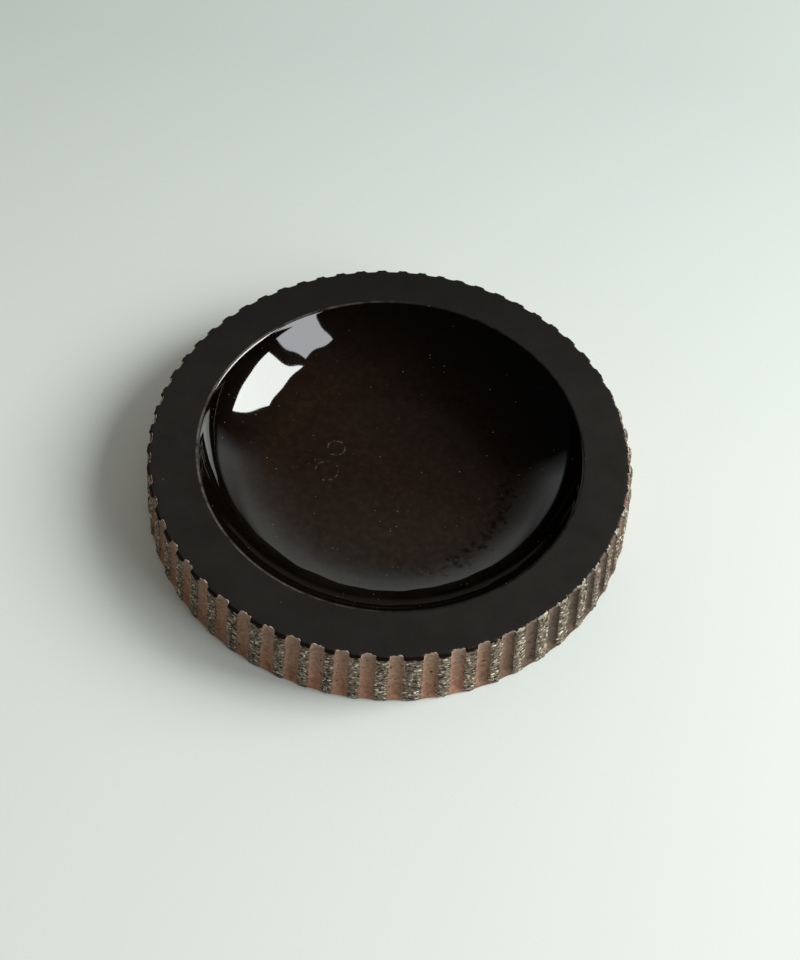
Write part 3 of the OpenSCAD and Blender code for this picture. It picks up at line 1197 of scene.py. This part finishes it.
        squash = add(tree, "FunctionNodeRandomValue", {"data_type": "FLOAT_VECTOR"}, {
            0: self.grain_least, 1: self.grain_most, "Seed": squash_seed}).outputs[0]
        scale = add(tree, "ShaderNodeVectorMath", {"operation": "SCALE"}, {0: squash, "Scale": size})
        grain = add(tree, "GeometryNodeMeshIcoSphere", None, {"Radius": 1.0, "Subdivisions": 1})
        instances = add(tree, "GeometryNodeInstanceOnPoints", None, {
            "Points": points.outputs["Points"], "Instance": grain.outputs["Mesh"], "Rotation": turned,
            "Scale": scale.outputs[0]}).outputs[0]
        toned = add(tree, "GeometryNodeStoreNamedAttribute", {"data_type": "FLOAT", "domain": "INSTANCE"}, {
            "Geometry": instances, "Name": "tone", "Value": tone}).outputs[0]
        rule.close(toned, material)
        copy = bpy.data.objects.new("grog_grains", skin.data.copy())
        bpy.context.scene.collection.objects.link(copy)
        return rule.bake(copy)

    def dress(self, piece: bpy.types.Object) -> None:
        """Roughens the slip, sets its grains, and gives both their finishes and places."""
        slip, grog = GrittySlip().build(), GrogGrain().build()
        skin = self.roughen(piece, slip)
        grains = self.scatter(skin, grog)
        keep(skin, slip, "land_slip")
        keep(grains, grog, None)


@dataclass
class RimGlaze:
    """The satin coat on the rim, scalloped where the flutes bite into it."""

    sizes: DishSizes
    edge: WornEdge
    coat: float = 0.5
    least_drop: float = 0.4
    flute_steps: int = 12
    land_steps: int = 8
    # Radius of the outer edge where it is crisp and where it is rolled
    edge_round: Span = (0.25, 1.25)
    lap: float = 0.4
    swell: float = 0.14
    burr_gap: float = 0.25
    gap_power: int = 10
    roll_power: int = 8
    fill: float = 0.3
    proud: float = 0.1
    # Unevenness of the outer edge, and more of it for each millimetre of wear
    chips: Span = (0.06, 0.12)
    chip_seed: int = 12
    chip_turns: tuple[int, ...] = (131, 197, 263, 331)
    lap_wander: float = 1.1
    lap_seed: int = 5
    lap_turns: tuple[int, ...] = (61, 89, 131, 211, 307)
    face_rows: int = 15
    wavy: float = 0.05
    wavy_seed: int = 8
    wavy_turns: tuple[int, ...] = (2, 3, 5, 7)
    dished: float = 0.05
    roll_deg: tuple[float, ...] = (75.0, 60.0, 45.0, 30.0, 15.0, 0.0)
    # Width and height of the lap's lower edge, and how far in the coat's back stands
    tip: Span = (0.2, 0.12)
    back: Span = (0.9, 2.5)
    front: FrontSide = FrontSide()

    def build(self) -> bpy.types.Object:
        """Builds the coat as one closed ring, rolled over the lands' edge and fuller in the back flutes."""
        s = self.sizes
        columns = FluteColumns(s, self.flute_steps, self.land_steps)
        angle, cut = columns.at(s.height, 0.0)
        land, front, across = columns.on_land, self.front.share(angle), np.abs(columns.across)
        worn = self.edge.depth(angle)
        sharp = np.where(land, 1.0 - np.clip(worn / self.edge.most, 0.0, 1.0), 0.0)
        chipped = (self.chips[0] + self.chips[1] * worn) * wave_noise(angle, self.chip_seed, self.chip_turns)
        hollow = (s.rim_radius - cut) * (1.0 - self.fill * (1.0 - front))
        outer = s.rim_radius - np.maximum(hollow, worn) + self.proud + chipped
        outer -= np.where(land, 0.0, self.burr_gap * front * (1.0 - across ** self.gap_power))
        in_flute = np.maximum(1.0 - front, across ** self.roll_power)
        rolled = np.maximum(sharp, np.where(land, 0.0, in_flute))
        bend = self.edge_round[0] + (self.edge_round[1] - self.edge_round[0]) * rolled
        uneven = 1.0 + self.lap_wander * wave_noise(angle, self.lap_seed, self.lap_turns)
        lap = sharp * self.lap * np.maximum(0.0, uneven)
        drop = np.maximum(self.least_drop, bend + lap)
        waves = self.wavy * wave_noise(angle, self.wavy_seed, self.wavy_turns)
        rows, thin = [], []
        for share in np.linspace(0.0, 1.0, self.face_rows):
            radius = s.lip_radius + share * (outer - bend - s.lip_radius)
            rows.append(ring(angle, radius, s.height + (waves - self.dished) * math.sin(math.pi * share)))
            thin.append(np.zeros(len(angle)))
        for turn in np.radians(self.roll_deg):
            inward, down = bend * (1.0 - math.cos(turn)), bend * (1.0 - math.sin(turn))
            rows.append(ring(angle, outer - inward, s.height - down))
            thin.append(rolled * (1.0 - turn / (0.5 * math.pi)))
        over = outer + self.swell * sharp + drop * math.tan(s.lean)
        rows.append(ring(angle, over, s.height - drop + self.tip[1]))
        rows.append(ring(angle, over - self.tip[0], s.height - drop))
        rows.append(ring(angle, outer - self.back[0], s.height - drop))
        rows.append(ring(angle, outer - self.back[1], s.height - self.coat))
        rows.append(ring(angle, s.lip_radius, s.height - s.glaze))
        thin += [rolled] * 3 + [np.zeros(len(angle))] * 2
        return shell("rim_glaze_coat", rows, None, {"thin": np.concatenate(thin)})

    def dress(self, piece: bpy.types.Object) -> None:
        """Gives the coat its finish and its place."""
        keep(piece, SatinGlaze().build(), "rim_glaze")


@dataclass
class WellGlaze:
    """The gloss coat that lines the well, a little uneven as run glaze is, with faint throwing rings."""

    sizes: DishSizes
    columns: int = 320
    ring_spacing: float = 5.5
    ring_height: float = 0.01
    wave_height: float = 0.022
    wave_count: int = 9
    wave_seed: int = 4
    wave_lengths: Span = (9.0, 17.0)
    # Share of the waves on the floor, then radii or distances where waves and rings fade, with their runs
    calm: float = 0.25
    calm_floor: Span = (38.0, 20.0)
    calm_lip: Span = (3.0, 5.0)
    ring_end: Span = (58.0, 14.0)
    ring_drift: Span = (1.3, 0.11)
    face_steps: tuple[int, int] = (60, 34)

    def unevenness(self, points: np.ndarray) -> np.ndarray:
        """Height of the glaze's slow waves and of the throwing rings.

        Args:
            points: Points of one ring of the face, in millimetres.

        Returns:
            Heights in millimetres.
        """
        chance = np.random.default_rng(self.wave_seed)
        x, y = points[:, 0], points[:, 1]
        radius = np.hypot(x, y)
        waves = np.zeros(len(points))
        for _ in range(self.wave_count):
            turn, phase = chance.uniform(0.0, TAU, 2)
            pace = TAU / chance.uniform(*self.wave_lengths)
            waves += np.sin(pace * (x * math.cos(turn) + y * math.sin(turn)) + phase)
        start, run = self.calm_floor
        on_curve = self.calm + (1.0 - self.calm) * ease((radius - start) / run)
        at_lip = ease((self.sizes.lip_radius - self.calm_lip[0] - radius) / self.calm_lip[1])
        drift = TAU * radius / self.ring_spacing + self.ring_drift[0] * np.sin(self.ring_drift[1] * radius)
        rings = np.sin(drift) * ease((self.ring_end[0] - radius) / self.ring_end[1])
        return at_lip * self.wave_height * on_curve * waves / 2.0 + self.ring_height * rings

    def build(self) -> bpy.types.Object:
        """Builds the coat as one closed skin: face, middle, back and seam."""
        s = self.sizes
        angle = np.linspace(0.0, TAU, self.columns, endpoint=False)
        face = [ring(angle, r, z) for r, z in s.well_section(0.0, *self.face_steps)]
        for row in face:
            row[:, 2] += self.unevenness(row)
        bed = [ring(angle, r, z) for r, z in s.well_section(s.glaze, *s.bed_steps)]
        poles = (face[-1].mean(axis=0), np.array([0.0, 0.0, s.floor_level - s.glaze]))
        return shell("well_glaze_coat", face[::-1] + bed, poles)

    def dress(self, piece: bpy.types.Object) -> None:
        """Gives the coat its finish and its place."""
        keep(piece, GlossGlaze().build(), "well_glaze")


@dataclass(frozen=True)
class WindowPane:
    """An upright soft lamp in the window's plane, given by what it spans as seen from the dish."""

    name: str
    side_deg: tuple[float, float]
    rise_deg: tuple[float, float]
    radiance: float
    colour: str

    def build(self, facing_deg: float, distance: float) -> None:
        """Makes the lamp.

        Args:
            facing_deg: Azimuth of the window from +Y toward +X.
            distance: Distance of the window's plane in metres.
        """
        left, right = (distance * math.tan(math.radians(a)) for a in self.side_deg)
        low, high = (distance * math.tan(math.radians(a)) for a in self.rise_deg)
        lamp = bpy.data.lights.new(self.name, "AREA")
        lamp.shape = "RECTANGLE"
        lamp.size, lamp.size_y = right - left, high - low
        lamp.energy = self.radiance * math.pi * lamp.size * lamp.size_y
        lamp.color = linear(self.colour)[:3]
        turn = math.radians(facing_deg)
        away = Vector((math.sin(turn), math.cos(turn), 0.0))
        along = Vector((math.cos(turn), -math.sin(turn), 0.0))
        where = away * distance + along * 0.5 * (left + right) + Vector((0.0, 0.0, 0.5 * (low + high)))
        made = bpy.data.objects.new(self.name, lamp)
        made.matrix_world = Matrix.Translation(where) @ (-away).to_track_quat("-Z", "Y").to_matrix().to_4x4()
        bpy.context.scene.collection.objects.link(made)


@dataclass
class Studio:
    """Floor, soft light from a window on the right, and the room's dim light."""

    window_facing: float = 96.0
    window_distance: float = 1.2
    panes: tuple[WindowPane, ...] = (
        WindowPane("window_near", (-29.0, 6.0), (22.0, 53.0), 12.5, "#fbfffb"),
        WindowPane("window_far", (14.0, 38.0), (17.0, 51.0), 5.3, "#f8fbff"),
    )
    # Half the floor's side in metres, then the directions between which wall and fill light fade in
    floor_half: float = 2.5
    wall_up: Direction = (-0.12, 0.0, 1.0)
    wall_side: Span = (0.48, 0.62)
    wall_foot: Span = (0.09, 0.14)
    fill_side: Span = (-0.7, 0.8)

    def build(self) -> None:
        """Builds the floor, the lamps and the world."""
        half = self.floor_half
        corners = [(-half, -half, 0.0), (half, -half, 0.0), (half, half, 0.0), (-half, half, 0.0)]
        mesh = bpy.data.meshes.new("floor")
        mesh.from_pydata(corners, [], [(0, 1, 2, 3)])
        floor = bpy.data.objects.new("floor", mesh)
        bpy.context.scene.collection.objects.link(floor)
        floor.data.materials.append(PaleFloor().build())
        for pane in self.panes:
            pane.build(self.window_facing, self.window_distance)
        self.light_room()

    def light_room(self) -> None:
        """Sets a dim world, paler behind. What the glazes mirror is a dark room with a grey back wall."""
        world = bpy.data.worlds.new("room")
        bpy.context.scene.world = world
        world.use_nodes = True
        tree = world.node_tree
        background = next(n for n in tree.nodes if n.type == "BACKGROUND")
        look = add(tree, "ShaderNodeTexCoord").outputs["Generated"]
        aim = add(tree, "ShaderNodeSeparateXYZ", None, {0: look}).outputs
        pair = {0: look, 1: self.wall_up}
        rise = add(tree, "ShaderNodeVectorMath", {"operation": "DOT_PRODUCT"}, pair).outputs["Value"]
        wall = tones(tree, rise, [
            (0.1, "#bbbfbe"), (0.36, "#a6aaa9"), (0.5, "#828584"), (0.62, "#5d5f5e"),
            (0.72, "#3c3d3c"), (0.85, "#202020")])
        behind = fade(tree, aim["Y"], self.wall_side)
        room = wash(tree, "#1c1c1b", wall, aim["Z"], self.wall_foot, FULL, behind)
        fill = tones(tree, fade(tree, aim["Y"], self.fill_side), [(0.0, "#5d5b54"), (1.0, "#b7b5ad")])
        mirrored = add(tree, "ShaderNodeLightPath").outputs["Is Glossy Ray"]
        tint = wash(tree, fill, room, mirrored)
        tree.links.new(tint, background.inputs["Color"])
        background.inputs["Strength"].default_value = 1.0


@dataclass
class PhotoCamera:
    """The camera, with the viewpoint fitted to the photograph. Lengths are in millimetres."""

    focal_px: float = 1300.0
    frame_px: float = 960.0
    distance: float = 563.36
    elevation: float = 54.242
    aim: tuple[float, float] = (4.587, 2.958)
    roll: float = 4.459
    sensor: float = 36.0

    def build(self) -> None:
        """Makes the camera and sets it as the scene's."""
        tilt, roll = math.radians(self.elevation), math.radians(self.roll)
        forward = Vector((0.0, math.cos(tilt), -math.sin(tilt)))
        level, rise = Vector((1.0, 0.0, 0.0)), Vector((0.0, math.sin(tilt), math.cos(tilt)))
        right = math.cos(roll) * level + math.sin(roll) * rise
        up = math.cos(roll) * rise - math.sin(roll) * level
        eye = (Vector((self.aim[0], self.aim[1], 0.0)) - forward * self.distance) * MM
        lens = bpy.data.cameras.new("photo_camera")
        lens.sensor_width = self.sensor
        lens.lens = self.focal_px / self.frame_px * self.sensor
        lens.clip_start = 0.01
        made = bpy.data.objects.new("photo_camera", lens)
        made.matrix_world = Matrix((right, up, -forward)).transposed().to_4x4()
        made.location = eye
        bpy.context.scene.collection.objects.link(made)
        bpy.context.scene.camera = made


def main() -> None:
    """Builds the camera, the studio and every piece, in order."""
    logging.basicConfig(level=logging.INFO, format="%(name)s: %(message)s")
    bpy.context.scene.view_settings.view_transform = "Standard"
    PhotoCamera().build()
    Studio().build()
    sizes, edge = DishSizes(), WornEdge()
    for part in (ClayBody(sizes, edge), LandSlip(sizes, edge), RimGlaze(sizes, edge), WellGlaze(sizes)):
        part.dress(part.build())


if __name__ == "__main__":
    main()
